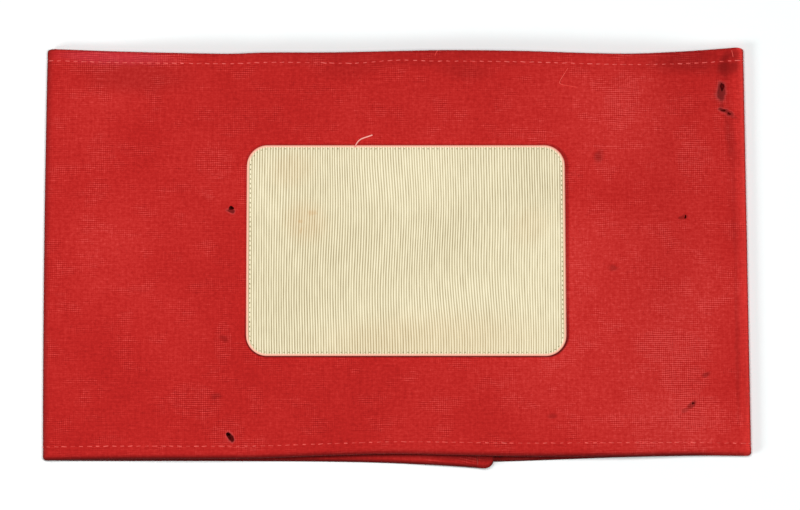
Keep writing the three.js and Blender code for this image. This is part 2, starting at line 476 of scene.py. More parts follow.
def dress(material, colour, height=None, strength=0.0, depth=0.0):
    """Gives a material its colour and, from a height, the fine relief of its surface."""
    tree = material.node_tree
    shader = tree.nodes["Principled BSDF"]
    tree.links.new(first_output(colour), shader.inputs["Base Color"])
    if height:
        bump = add(tree, "Bump", {"Height": height, "Strength": strength, "Distance": depth * MM})
        tree.links.new(bump.outputs["Normal"], shader.inputs["Normal"])
    return material


def new_object(name, mesh):
    made = bpy.data.objects.new(name, mesh)
    bpy.context.scene.collection.objects.link(made)
    return made


def evaluated_mesh(piece):
    """What a piece's modifiers make of it, as a plain mesh."""
    graph = bpy.context.evaluated_depsgraph_get()
    source = piece.evaluated_get(graph)
    return bpy.data.meshes.new_from_object(source, preserve_all_data_layers=True, depsgraph=graph)


def settle(piece):
    """Keeps what the piece's modifiers make of it, and removes them."""
    mesh = evaluated_mesh(piece)
    piece.modifiers.clear()
    piece.data = mesh
    return piece


def grow(name, source, tree, inputs):
    """Runs a node tree on a source mesh and keeps what it makes as a piece with a plain mesh."""
    piece = new_object(name, source)
    modifier = piece.modifiers.new("nodes", "NODES")
    modifier.node_group = tree
    for item in tree.interface.items_tree:
        if item.in_out == "INPUT" and item.name in inputs:
            modifier[item.identifier] = inputs[item.name]
    return settle(piece)


def new_tree(name, *inputs):
    """A node tree that changes a geometry, with the named inputs. Gives the tree and its inputs."""
    tree = bpy.data.node_groups.new(name, "GeometryNodeTree")
    for in_out, sockets in (("INPUT", ("Geometry", *inputs)), ("OUTPUT", ("Geometry",))):
        for socket in sockets:
            kind = "NodeSocket" + SOCKET_KINDS.get(socket, "Float")
            tree.interface.new_socket(socket, in_out=in_out, socket_type=kind)
    return tree, add(tree, "GroupInput").outputs


def end_tree(tree, geometry, material):
    """Ends a tree: its instances made real, and its material set."""
    real = add(tree, "RealizeInstances", {"Geometry": geometry})
    dressed = add(tree, "SetMaterial", {"Geometry": real, "Material": material})
    add(tree, "GroupOutput", {"Geometry": dressed})
    return tree


def mesh_of(name, points, faces, materials=()):
    """A mesh from points in millimetres."""
    mesh = bpy.data.meshes.new(name)
    mesh.from_pydata((np.asarray(points) * MM).tolist(), [], faces)
    for material in materials:
        mesh.materials.append(material)
    return mesh


def shell_faces(at):
    """The faces of a closed shell. Its outer points are numbered as in the grid, its inner points come after
    them in the same order, and rims join the two along the grid's four edges."""
    outer = np.stack([at[:-1, :-1], at[:-1, 1:], at[1:, 1:], at[1:, :-1]], axis=2).reshape(-1, 4)
    rims = []
    for line, forward in ((at[:, 0], True), (at[:, -1], False), (at[0], False), (at[-1], True)):
        a, b = (line[:-1], line[1:]) if forward else (line[1:], line[:-1])
        rims.append(np.stack([a, b, b + at.size, a + at.size], axis=1))
    return np.concatenate([outer, outer[:, ::-1] + at.size, *rims]).tolist()


def lay_uv(mesh, places):
    """A UV map in metres, from a grid of places in millimetres that holds for both faces of a shell."""
    corners = np.empty(len(mesh.loops), np.int32)
    mesh.loops.foreach_get("vertex_index", corners)
    both = np.tile(places.reshape(-1, 2), (2, 1))
    layer = mesh.uv_layers.new(name="cloth")
    layer.data.foreach_set("uv", (both[corners] * MM).astype(np.float32).ravel())


def keep_number(mesh, name, outer, inner):
    """A number for each point of a shell's two faces, kept as an attribute."""
    values = np.stack([outer, inner]).astype(np.float32)
    mesh.attributes.new(name, "FLOAT", "POINT").data.foreach_set("value", values.ravel())


# The shape of the loop, in millimetres


def smooth(share):
    share = np.clip(share, 0, 1)
    return share * share * (3 - 2 * share)


def mix(a, b, share):
    return a + (b - a) * share


def bell(distance, reach):
    """1 in the middle, and almost nothing at twice the reach."""
    return np.exp(-((distance / reach) ** 2))


def along(edges, column, x):
    """A column of an edge table at each x, on a smooth curve through its rows."""
    places = np.array([edge.x for edge in edges])
    values = np.array([getattr(edge, column) for edge in edges])
    last = len(places) - 1
    before, after = np.maximum(np.arange(last + 1) - 1, 0), np.minimum(np.arange(last + 1) + 1, last)
    slopes = (values[after] - values[before]) / (places[after] - places[before])
    at = np.clip(np.searchsorted(places, x, side="right") - 1, 0, last - 1)
    run = places[at + 1] - places[at]
    t = np.clip((x - places[at]) / run, 0, 1)
    bend = run * slopes[at] * t * (1 - t) ** 2 - run * slopes[at + 1] * (1 - t) * t**2
    return mix(values[at], values[at + 1], smooth(t)) + bend


def front_height(x):
    """The front's plain height: it rises from each fold in two even curves, as a soft cloth does."""
    share = np.clip((FOLD_CENTRE - np.abs(x)) / RISE_RUN, 0, 1)
    arch = np.where(share < 0.5, 2 * share**2, 1 - 2 * (1 - share) ** 2)
    return 2 * FOLD_RADIUS + MIDDLE_RISE * arch


def taper_at(x, y):
    """The share of its length that the loop keeps at a height: it gets shorter towards its upper edge."""
    up = np.clip((y - LOWEST_EDGE) / TAPER_RUN, 0, 1)
    shrink = np.where(x < 0, TAPER_LEFT * up * up, TAPER_RIGHT * up)
    return 1 - shrink / HALF_LENGTH


def tapered(x, y):
    """Where a place on the straight strip comes to lie once the loop is tapered."""
    return x * taper_at(x, y)


def run_along(x, y):
    """How far along a line each of its points is."""
    return np.concatenate([[0], np.cumsum(np.hypot(np.diff(x), np.diff(y)))])


def hills(x, y, reach, seed):
    """Smooth random heights from about -1 to 1, with hills a reach apart."""
    flat = zip(np.ravel(x) / reach, np.ravel(y) / reach)
    return np.array([noise.noise(Vector((a, b, seed))) for a, b in flat]).reshape(np.shape(x)) * 1.4


def front_relief(x, y):
    """How far the front stands off its plain height: soft waves, and a crease near the right fold."""
    crease = CREASE_DEPTH * bell(x - FRONT_CREASE_X, CREASE_WIDTH) * smooth((y + 5) / 20)
    return LONG_WAVES.at(x, y) + SHORT_WAVES.at(x, y) - crease


def front_top(x, y):
    """The height of the front's outer face."""
    return front_height(np.asarray(x, float)) + front_relief(np.asarray(x, float), np.asarray(y, float))


# The band


def stretch(x, z, edges, lap=0.0, inset=0.0):
    """One stretch of the strip: rows of x, height of the outer face, lower edge, upper edge and lap."""
    lower, upper = along(edges, "lower", x) + inset, along(edges, "upper", x) - inset
    return np.stack([x, z + 0 * x, lower, upper, lap + 0 * x], axis=1)


def fold(side, from_edges, to_edges, from_angle):
    """The strip round one end of the loop."""
    share = np.linspace(0, 1, FOLD_STEPS + 1)[1:-1]
    angle = from_angle + share * math.pi
    middle = side * FOLD_CENTRE
    x = middle + FOLD_RADIUS * np.cos(angle)
    z = FOLD_RADIUS + FOLD_RADIUS * np.sin(angle)
    edge = [
        mix(along(from_edges, column, middle), along(to_edges, column, middle), smooth(share))
        for column in ("lower", "upper")
    ]
    return np.stack([x, z, *edge, 0 * x], axis=1)


def steps(start, end, size):
    return np.linspace(start, end, round(abs(end - start) / size) + 1)


def strip_stations():
    """The strip from its under end round the right fold, the front and the left fold to its upper end."""
    lap_end = UNDER_END - LAP_GAP
    climb = steps(LAP_START, lap_end, BACK_STEP)[1:]
    front = steps(FOLD_CENTRE, -FOLD_CENTRE, FRONT_STEP)
    doubled = steps(UPPER_END - TURNED_END + 0.3, UPPER_END - LAP_CORNER - 0.3, 0.6)
    quarter = np.linspace(math.pi / 2, 0, CORNER_STEPS)
    corner = UPPER_END - LAP_CORNER * (1 - np.cos(quarter))
    corner_inset = LAP_CORNER * (1 - np.sin(quarter))
    return np.concatenate([
        stretch(steps(UNDER_END, FOLD_CENTRE, BACK_STEP), 0, BACK_RIGHT_EDGES),
        fold(1, BACK_RIGHT_EDGES, FRONT_EDGES, -math.pi / 2),
        stretch(front, front_height(front), FRONT_EDGES),
        fold(-1, FRONT_EDGES, BACK_LEFT_EDGES, math.pi / 2),
        stretch(steps(-FOLD_CENTRE, LAP_START, BACK_STEP), 0, BACK_LEFT_EDGES),
        stretch(climb, 0, BACK_LEFT_EDGES, lap=smooth((climb - LAP_START) / (lap_end - LAP_START))),
        stretch(steps(lap_end, UPPER_END - TURNED_END, BACK_STEP)[1:], 0, BACK_LEFT_EDGES, lap=1),
        stretch(doubled, 0, BACK_LEFT_EDGES, lap=1),
        stretch(corner, 0, BACK_LEFT_EDGES, lap=1, inset=corner_inset),
    ])


def hem_columns():
    """Across one hem, from its raw edge round the fold to the field. Gives each column's inset from the
    edge, its depth below the outer face, the direction out of the cloth as (inset, depth), and the
    distance along the cloth from the fold."""
    outer_depth = CLOTH / 2
    turned_depth = outer_depth + 2 * HEM_FOLD
    centre = HEM_FOLD + CLOTH / 2
    turned = np.array([HEM_DEPTH, 4.5, 3.9, HEM_STITCH, 3.0, 2.6, 2.2, 1.8, 1.3])
    outer = np.array([1.2, 1.6, 2.0, 2.5, 3.0, HEM_STITCH, 3.8, 4.3, 4.9, 5.8, 7.2, 9.1, 11.5])
    angle = np.linspace(-math.pi / 2, math.pi / 2, HEM_FOLD_STEPS + 1)
    arc = HEM_FOLD * angle

    def columns(on_turned, on_fold, on_outer):
        return np.concatenate([on_turned + 0 * turned, on_fold, on_outer + 0 * outer])

    inset = columns(turned, centre - HEM_FOLD * np.cos(angle), outer)
    depth = columns(turned_depth, centre - HEM_FOLD * np.sin(angle), outer_depth)
    out_inset = columns(0, -np.cos(angle), 0)
    out_depth = columns(1, -np.sin(angle), -1)
    distance = columns(-(turned - centre) + arc[0], arc, outer - centre + arc[-1])
    return inset, depth, out_inset, out_depth, distance


class Sheet(NamedTuple):
    """The band's cloth as grids, a row for each station and a column for each place across."""

    outer: np.ndarray
    inner: np.ndarray
    out: np.ndarray
    places: np.ndarray
    stations: np.ndarray
    insets: np.ndarray
    turned: np.ndarray
    stitch_lines: list


def band_sheet():
    stations = strip_stations()
    x, z, lower, upper, lap = stations.T
    run = run_along(x, z)
    heading = np.stack([np.gradient(x), np.gradient(z)], axis=1)
    heading /= np.linalg.norm(heading, axis=1, keepdims=True)
    outward = np.stack([heading[:, 1], 0 * x, -heading[:, 0]], axis=1)

    inset, depth, out_inset, out_depth, distance = hem_columns()
    hem = len(inset)
    deepest = inset[-1]
    share = np.linspace(0, 1, FIELD_STEPS + 1)[1:-1]
    field = lower[:, None] + deepest + share * (upper - lower - 2 * deepest)[:, None]
    near_row = bell(inset - HEM_STITCH, 1.6)
    low_inset, high_inset = (
        inset + (along(HEM_ROWS, column, x) - HEM_STITCH)[:, None] * near_row for column in ("lower", "upper")
    )
    y = np.concatenate([lower[:, None] + low_inset, field, upper[:, None] - high_inset[:, ::-1]], axis=1)
    strip_x = x[:, None] + 0 * y
    strip_run = run[:, None] + 0 * y

    def across(column, middle, mirrored=1):
        return np.concatenate([column, np.full(len(share), middle), mirrored * column[::-1]])

    depths = across(depth, CLOTH / 2)
    out_y = across(out_inset, 0.0, mirrored=-1)
    out_face = across(-out_depth, 1.0)
    insets = across(inset, 50.0)
    turned = out_face < -0.5
    beyond = inset - (distance + deepest - distance[-1])
    places_y = np.concatenate([y[:, :hem] - beyond, field, y[:, -hem:] + beyond[::-1]], axis=1)

    # Each place's relief: waves on the front, flatter ones on the back, and grooves at the hem stitches
    # and, under the back, at the lap's seam
    on_front = smooth((z - 2 * FOLD_RADIUS + 0.4) / 0.4)[:, None]
    back = z < 0.01
    settled = BACK_SETTLES * (1 + BACK_HILLS.at(strip_x, y)) * (1 - on_front)
    flutter = EDGE_WAVES.at(strip_run, np.sign(y) * 20) * np.exp(-insets / EDGE_FADE)
    groove = bell(insets - HEM_STITCH, GROOVE_REACH) * (0.8 + GROOVE_WAVES.at(strip_run, y))
    groove = groove * (1 - 0.75 * np.abs(outward[:, :1]))
    relief = (front_relief(strip_x, y) + flutter) * on_front - np.where(back[:, None], settled, 0)
    relief = relief - np.where(turned, SUNK_TURNED, SUNK_STITCH) * groove
    seam = bell(x - LAP_SEAM, BACK_STEP) * back * (lap < 0.001)
    relief = relief - SEAM_GROOVE * seam[:, None]

    lift = lap[:, None] * (LAP_GAP + mix(HEM_LAYERS, CLOTH, smooth((insets - 6.0) / 3.0)))
    middle = np.stack([strip_x, y, z[:, None] + lift], axis=2)
    middle += outward[:, None, :] * (relief - depths)[:, :, None]
    out = outward[:, None, :] * out_face[None, :, None]
    out[:, :, 1] = out_y

    # The upper end is turned under: it is twice as thick on the side that faces into the loop, and its edge
    # is round
    upper_end = lap > 0.999
    from_end = np.where(upper_end, UPPER_END - x, 99.0)[:, None]
    doubled = CLOTH * smooth((TURNED_END - from_end) / 0.5) * upper_end[:, None]
    free = turned | (insets > HEM_DEPTH + 0.1)
    outer_wall = CLOTH / 2 + np.where(turned, doubled, 0)
    inner_wall = CLOTH / 2 + np.where(free & ~turned, doubled, 0)
    radius = (outer_wall + inner_wall) / 2
    drawn_in = radius - np.sqrt(np.maximum(radius**2 - np.maximum(radius - from_end, 0) ** 2, 0))
    outer = middle + out * (outer_wall - drawn_in)[:, :, None]
    inner = middle - out * (inner_wall - drawn_in)[:, :, None]
    for grid in (outer, inner):
        grid[:, :, 0] = tapered(grid[:, :, 0], grid[:, :, 1])

    places = np.stack([strip_run, places_y], axis=2)
    at_stitch = insets[:hem] == HEM_STITCH
    stitch_lines = [int(np.where(at_stitch & (turned[:hem] == side))[0][0]) for side in (False, True)]
    return Sheet(outer, inner, out, places, stations, insets, turned, stitch_lines)


def painted_shade_and_light(sheet):
    """How much painted shade and painted light each place gets, from 0 to 1. Painted shade lies along the
    folds of the hems, most of all on the lower one, on the left end, and on the back just below the front's
    edge, as the front's shadow. Painted light lies on the right end, with a thin darker line at its very
    edge."""
    x, height = sheet.stations[:, 0][:, None], sheet.stations[:, 1][:, None]
    y = sheet.outer[:, :, 1]
    steep = 1 - np.abs(sheet.out[:, :, 2])
    back = height < 0.01
    # Painted shade where each hem's fold turns away from the light
    at_fold = 0.4 * smooth((2.0 - sheet.insets) / 1.8) + 0.6 * smooth((1.15 - sheet.insets) / 0.65)
    less_in_middle = np.where(back, 1, 1 - 0.3 * bell(x - 5, 35))
    low_hem = less_in_middle * at_fold * (1 - 0.3 * smooth((x - 84) / 8)) * (y < 0)
    high_hem = 0.12 * smooth((0.7 - sheet.insets) / 0.6) * (y > 0)
    # Painted shade on the left fold
    left_end = 0.8 * steep * (x < -FOLD_CENTRE) + 0.1 * smooth((-x - 98.4) / 2.2)
    # Painted shadow that the front's edge casts on the back strip below it
    below_front = along(FRONT_EDGES, "lower", x) - y
    reach = 1.6 + 1.1 * smooth((x - 5) / (UPPER_END - 5))
    under_front = 0.12 + 0.7 * smooth((reach - below_front) / (reach - 0.2))
    under_front = under_front * (back & sheet.turned & (y < 0))
    painted_shade = np.maximum.reduce([low_hem, high_hem, left_end, under_front])
    # Painted light on the right fold, dropping to a thin darker line at its very edge
    painted_light = 0.1 * smooth((x - 97.6) / 0.6) + 0.9 * np.minimum(1, 2.4 * steep) * (x > FOLD_CENTRE)
    return painted_shade, painted_light * (1 - 0.85 * smooth((x - 100.3) / 0.4))


def band_mesh(sheet, material):
    """The band's closed mesh: outer face, inner face, and the raw edges and ends that join them."""
    rows, columns = sheet.outer.shape[:2]
    at = np.arange(rows * columns).reshape(rows, columns)
    points = np.stack([sheet.outer, sheet.inner]).reshape(-1, 3)
    mesh = mesh_of("wool_band", points, shell_faces(at), [material])
    lay_uv(mesh, sheet.places)
    raised = np.where(sheet.turned, 0.25, 1.0) * smooth((sheet.out[:, :, 2] - 0.3) / 0.5)
    keep_number(mesh, "nap", raised, 0.12 * raised)
    # Painted shade and painted light, kept as attributes for the cloth's colour
    for name, values in zip(("painted_shade", "painted_light"), painted_shade_and_light(sheet)):
        keep_number(mesh, name, values, values)
    # Marks the inner face, which the cloth paints darker as shade inside the loop
    keep_number(mesh, "wrong_side", 0 * raised, 0 * raised + 1)
    return mesh


def hole_outline(hole, grown=0.0):
    """The ragged outline of a moth hole, as x and y."""
    angle = np.linspace(0, 2 * math.pi, HOLE_SIDES, endpoint=False)
    reach = 1 + 0.14 * np.sin(3 * angle + hole.x) + 0.08 * np.cos(2 * angle + hole.y)
    reach += 0.04 * np.sin(7 * angle + hole.y) + 0.12 * hills(3 * np.cos(angle), 3 * np.sin(angle), 1, hole.x)
    oval_x = (hole.long / 2 + grown) * reach * np.cos(angle)
    oval_y = (hole.wide / 2 + grown) * reach * np.sin(angle)
    turn = math.radians(hole.turn)
    x = hole.x + oval_x * math.cos(turn) - oval_y * math.sin(turn)
    y = hole.y + oval_x * math.sin(turn) + oval_y * math.cos(turn)
    return x, y


def cut_moth_holes(band):
    """Cuts the moth holes through the front, with ragged prisms."""
    points, faces = [], []
    for hole in MOTH_HOLES:
        x, y = hole_outline(hole)
        level = float(front_top(hole.x, hole.y)) - CLOTH / 2
        low = [len(points) + i for i in range(HOLE_SIDES)]
        high = [i + HOLE_SIDES for i in low]
        for height in (level - HOLE_REACH, level + HOLE_REACH):
            points += [(a, b, height) for a, b in zip(x, y)]
        faces += [low[::-1], high]
        for i in range(HOLE_SIDES):
            j = (i + 1) % HOLE_SIDES
            faces.append([low[i], low[j], high[j], high[i]])
    cutter = new_object("moth", mesh_of("moth", points, faces, list(band.data.materials)))
    cut = band.modifiers.new("moth", "BOOLEAN")
    cut.operation = "DIFFERENCE"
    cut.solver = "MANIFOLD"
    cut.object = cutter
    settle(band)
    bpy.data.objects.remove(cutter)


# The label


def inside_label(x, y):
    """How far a place is inside the label's outline, measured from the label's middle."""
    over_x = np.abs(x) - (LABEL_HALF_WIDTH - LABEL_CORNER)
    over_y = np.abs(y) - (LABEL_HALF_HEIGHT - LABEL_CORNER)
    outside = np.hypot(np.maximum(over_x, 0), np.maximum(over_y, 0))
    return LABEL_CORNER - outside - np.minimum(np.maximum(over_x, over_y), 0)


def label_shell(material):
    """The label without its ribs: a thin pad with a round edge and a groove where it is sewn down. Its
    columns run along the ribs, so that each rib wanders with its own columns."""
    ribs = round(2 * LABEL_HALF_WIDTH / RIB_PITCH)
    count = np.arange(ribs * RIB_COLUMNS + 1)
    x = LABEL_HALF_WIDTH * (2 * count / count[-1] - 1)
    past_corner = np.maximum(np.abs(x) - (LABEL_HALF_WIDTH - LABEL_CORNER), 0)
    half = LABEL_HALF_HEIGHT - LABEL_CORNER + np.sqrt(np.maximum(LABEL_CORNER**2 - past_corner**2, 0))
    edge = np.array(LABEL_EDGE_ROWS)
    share = np.linspace(0, 1, LABEL_ROWS + 1)[1:-1]
    field = (edge[-1] - half)[:, None] + share * 2 * (half - edge[-1])[:, None]
    y = np.concatenate([-half[:, None] + edge, field, half[:, None] - edge[::-1]], axis=1)
    x = x[:, None] + 0 * y
    held = smooth((LABEL_HALF_WIDTH - np.abs(x)) / 12)
    inside = np.maximum(inside_label(x, y), 0)
    x = x + (RIB_WAVES.at(x, y) + FINE_RIB_WAVES.at(x * 8, y)) * held

    round_edge = np.sqrt(1 - (1 - np.minimum(inside, LABEL_ROUND) / LABEL_ROUND) ** 2)
    groove = LABEL_GROOVE * bell(inside - LABEL_STITCH, 0.35)
    place_x, place_y = LABEL_X + x, LABEL_Y + y
    bed = front_top(place_x, place_y) + LABEL_BED
    top = bed + ((LABEL_THICK - RIB_RISE) * mix(LABEL_RIM, 1, round_edge) - groove)
    points = [np.stack([tapered(place_x, place_y), place_y, level], axis=2) for level in (top, bed)]

    at = np.arange(x.size).reshape(x.shape).T
    mesh = mesh_of("rib_label", np.reshape(points, (-1, 3)), shell_faces(at), [material])
    rib = (count / RIB_COLUMNS)[:, None] + 0 * y
    lay_uv(mesh, np.stack([rib * RIB_PITCH, y], axis=2))
    fade = smooth((inside - 0.12) / 0.4) * (1 - 0.5 * bell(inside - LABEL_STITCH, 0.3))
    keep_number(mesh, "rib", rib, rib)
    keep_number(mesh, "rib_rise", fade, 0 * fade)
    keep_number(mesh, "inside", inside * MM, inside * MM)
    return mesh


def rib_tree():
    """Raises a rib between each whole number of the rib attribute."""
    tree, given = new_tree("ribs", "Rise", "Material")
    rib, fade = (
        add(tree, "InputNamedAttribute", {"Name": name}, data_type="FLOAT") for name in ("rib", "rib_rise")
    )
    turn = add(tree, "Math", (rib, math.pi), operation="MULTIPLY")
    wave = add(tree, "Math", (turn,), operation="SINE")
    crest = add(tree, "Math", (wave,), operation="ABSOLUTE")
    faded = add(tree, "Math", (crest, fade), operation="MULTIPLY")
    height = add(tree, "Math", (faded, given["Rise"]), operation="MULTIPLY")
    offset = add(tree, "CombineXYZ", {"Z": height})
    raised = add(tree, "SetPosition", {"Geometry": given["Geometry"], "Offset": offset})
    return end_tree(tree, add(tree, "SetShadeSmooth", {"Geometry": raised}), given["Material"])


# Threads and fibres


def scatter(tree, given, points, piece, rotation, turns, sizes):
    """Ends a tree with a piece at each point, turned and sized at random between a low and a high."""
    turn, scale = (
        add(tree, "RandomValue", {"Min": low, "Max": high, "Seed": given["Seed"]}, data_type="FLOAT_VECTOR")
        for low, high in (turns, sizes)
    )
    turned = {"Rotation": rotation, "Rotate By": turn}
    lain = add(tree, "RotateRotation", turned, rotation_space="LOCAL")
    placed = {"Points": points, "Instance": piece, "Rotation": lain, "Scale": scale}
    return end_tree(tree, add(tree, "InstanceOnPoints", placed), given["Material"])


def stitch_tree():
    """Lays stitches end to end along a line. Each is a bowed bit of thread that dips into the cloth."""
    tree, size = new_tree(
        "stitches", "Pitch", "Length", "Thread radius", "Rise", "Dip", "Skew", "Seed", "Material"
    )
    line = add(tree, "MeshToCurve", {"Mesh": size["Geometry"]})
    places = add(tree, "ResampleCurve", {"Curve": line, "Length": size["Pitch"]}, mode="LENGTH")

    half, back, down, other_way = (
        add(tree, "Math", (size[name], share), operation="MULTIPLY")
        for name, share in (("Length", 0.5), ("Length", -0.5), ("Dip", -1.0), ("Skew", -1.0))
    )
    bow = add(tree, "Math", (size["Rise"], 2.0, size["Dip"]), operation="MULTIPLY_ADD")
    thread = add(tree, "CurveQuadraticBezier", {
        "Resolution": 6,
        "Start": add(tree, "CombineXYZ", {"X": back, "Z": down}),
        "Middle": add(tree, "CombineXYZ", {"Z": bow}),
        "End": add(tree, "CombineXYZ", {"X": half, "Z": down}),
    })
    ring = add(tree, "CurvePrimitiveCircle", {"Resolution": 7, "Radius": size["Thread radius"]})
    stitch = add(tree, "CurveToMesh", {"Curve": thread, "Profile Curve": ring, "Fill Caps": True})
    rounded = add(tree, "SetShadeSmooth", {"Geometry": stitch})

    out = add(tree, "InputNamedAttribute", {"Name": "out"}, data_type="FLOAT_VECTOR")
    facing = add(
        tree,
        "AxesToRotation",
        {"Primary Axis": out, "Secondary Axis": add(tree, "InputTangent")},
        primary_axis="Z",
        secondary_axis="X",
    )
    turns = [add(tree, "CombineXYZ", {"Z": end}) for end in (other_way, size["Skew"])]
    sizes = (0.72, 0.85, 0.7), (1.12, 1.15, 1.1)
    return scatter(tree, size, places, rounded, facing, turns, sizes)


stitches = stitch_tree()


def sew(name, lines, stitch, seed, material):
    """Sews along lines, each a row of points with the direction out of the cloth at each point."""
    points, out = (np.concatenate(part) for part in zip(*lines))
    joins, first = [], 0
    for line, _ in lines:
        joins += [(first + i, first + i + 1) for i in range(len(line) - 1)]
        first += len(line)
    mesh = bpy.data.meshes.new(name)
    mesh.from_pydata((points * MM).tolist(), joins, [])
    directions = mesh.attributes.new("out", "FLOAT_VECTOR", "POINT")
    directions.data.foreach_set("vector", out.astype(np.float32).ravel())
    return grow(name, mesh, stitches, {
        "Pitch": stitch.pitch * MM,
        "Length": stitch.length * MM,
        "Thread radius": stitch.radius * MM,
        "Rise": stitch.rise * MM,
        "Dip": stitch.dip * MM,
        "Skew": math.radians(stitch.skew),
        "Seed": seed,
        "Material": material,
    })


def hem_lines(sheet, upper):
    """The stitch rows along one hem, on the outer face and on the turned edge."""
    x, lap = sheet.stations[:, 0], sheet.stations[:, 4]
    sewn = (np.arange(len(x)) > 1) & ~((lap > 0.999) & (x > UPPER_END - LAP_CORNER - STITCH_PITCH / 2))
    columns = [-1 - column if upper else column for column in sheet.stitch_lines]
    return [(sheet.outer[sewn, column], sheet.out[sewn, column]) for column in columns]


def lap_lines(sheet):
    """The seam through the lap: a row on the upper end, inside the loop, and one under the back."""
    x, lap = sheet.stations[:, 0], sheet.stations[:, 4]
    upper_row = int(np.argmin(np.abs(x - LAP_SEAM) + 100 * (lap < 0.999)))
    under_row = int(np.argmin(np.abs(x - LAP_SEAM)[: len(x) // 4]))
    sewn = sheet.insets >= SEAM_INSET
    turned = sheet.turned & sewn
    field = ~sheet.turned & (sheet.insets > HEM_DEPTH + CLOTH / 2)
    above = np.where(turned[:, None], sheet.outer[upper_row], sheet.inner[upper_row])[turned | field]
    above = above[np.argsort(above[:, 1])]
    below = sheet.outer[under_row, sewn & ~sheet.turned] + (0, 0, SUNK_SEAM)
    up = np.array([0, 0, 1.0])
    return [(above, np.tile(up, (len(above), 1))), (below, np.tile(-up, (len(below), 1)))]


def label_line():
    """The row that sews the label down, a little inside its edge."""
    radius = LABEL_CORNER - LABEL_STITCH
    reach_x, reach_y = LABEL_HALF_WIDTH - LABEL_CORNER, LABEL_HALF_HEIGHT - LABEL_CORNER
    points = []
    for quarter, (side_x, side_y) in enumerate(((1, 1), (-1, 1), (-1, -1), (1, -1))):
        angle = (quarter + np.linspace(0, 1, 9)) * math.pi / 2
        corner_x = LABEL_X + side_x * reach_x + radius * np.cos(angle)
        corner_y = LABEL_Y + side_y * reach_y + radius * np.sin(angle)
        points += list(zip(corner_x, corner_y))
    points.append(points[0])
    x, y = np.array(points).T
    length = run_along(x, y)
    even = np.linspace(0, length[-1], LABEL_LINE_POINTS)
    x, y = np.interp(even, length, x), np.interp(even, length, y)
    line = np.stack([tapered(x, y), y, front_top(x, y) + LABEL_THICK - RIB_RISE], axis=1)
    return [(line, np.tile([0, 0, 1.0], (len(line), 1)))]


def nap_tree():
    """Scatters short bent fibres over the cloth, as many as the nap attribute says."""
    tree, size = new_tree("nap", "Fibres per square metre", "Length", "Fibre radius", "Seed", "Material")
    nap = add(tree, "InputNamedAttribute", {"Name": "nap"}, data_type="FLOAT")
    density = add(tree, "Math", (nap, size["Fibres per square metre"]), operation="MULTIPLY")
    ground = {"Mesh": size["Geometry"], "Density": density, "Seed": size["Seed"]}
    spread = add(tree, "DistributePointsOnFaces", ground)
    reach, rise, fall = (
        add(tree, "Math", (size["Length"], share), operation="MULTIPLY") for share in (0.5, 0.22, 0.04)
    )
    fibre = add(tree, "CurveQuadraticBezier", {
        "Resolution": 3,
        "Start": (0.0, 0.0, 0.0),
        "Middle": add(tree, "CombineXYZ", {"X": reach, "Z": rise}),
        "End": add(tree, "CombineXYZ", {"X": size["Length"], "Y": fall, "Z": fall}),
    })
    ring = add(tree, "CurvePrimitiveCircle", {"Resolution": 3, "Radius": size["Fibre radius"]})
    hair = add(tree, "CurveToMesh", {"Curve": fibre, "Profile Curve": ring})
    turns = (-0.15, -0.12, -math.pi), (0.15, 0.2, math.pi)
    sizes = (0.5, 0.7, 0.3), (1.4, 1.3, 1.5)
    return scatter(tree, size, spread, hair, spread.outputs["Rotation"], turns, sizes)


def on_front(x, y, above):
    """A point above the front's outer face."""
    return x, y, float(front_top(x / taper_at(x, y), y)) + above


def strands(name, lines, radius, material):
    """Thin round threads along smooth curves through places on the front, in millimetres."""
    curve = bpy.data.curves.new(name, "CURVE")
    curve.dimensions = "3D"
    curve.bevel_depth = radius * MM
    curve.bevel_resolution = 1
    curve.resolution_u = 4
    curve.use_fill_caps = True
    curve.materials.append(material)
    for line in lines:
        spline = curve.splines.new("NURBS")
        spline.points.add(len(line) - 1)
        for point, place in zip(spline.points, line):
            point.co = (*(Vector(on_front(*place)) * MM), 1)
        spline.order_u = min(4, len(line))
        spline.use_endpoint_u = True
    drawn = new_object(name, curve)
    mesh = evaluated_mesh(drawn)
    bpy.data.objects.remove(drawn)
    mesh.shade_smooth()
    return new_object(name, mesh)


def fray_lines():
    """Broken yarns round the moth holes: each starts in the cloth and reaches into the hole."""
    chance = random.Random(FRAY_SEED)
    lines = []
    for hole in MOTH_HOLES:
        x, y = hole_outline(hole, grown=0.25)
        around = float(np.hypot(np.diff(x), np.diff(y)).sum())
        for _ in range(round(around * FRAYS_PER_MM)):
            i = chance.randrange(HOLE_SIDES)
            start = Vector((x[i], y[i]))
            inward = (Vector((hole.x, hole.y)) - start).normalized()
            inward.rotate(Matrix.Rotation(chance.uniform(-0.9, 0.9), 2))
            inward *= chance.uniform(0.5, 1.2) * min(1.2, 0.45 + hole.wide / 2)
            lines.append([
                (*start, -0.15),
                (*(start + inward * 0.5), chance.uniform(0.0, 0.15)),
                (*(start + inward), chance.uniform(-0.6, 0.05)),
            ])
    return lines


# Materials


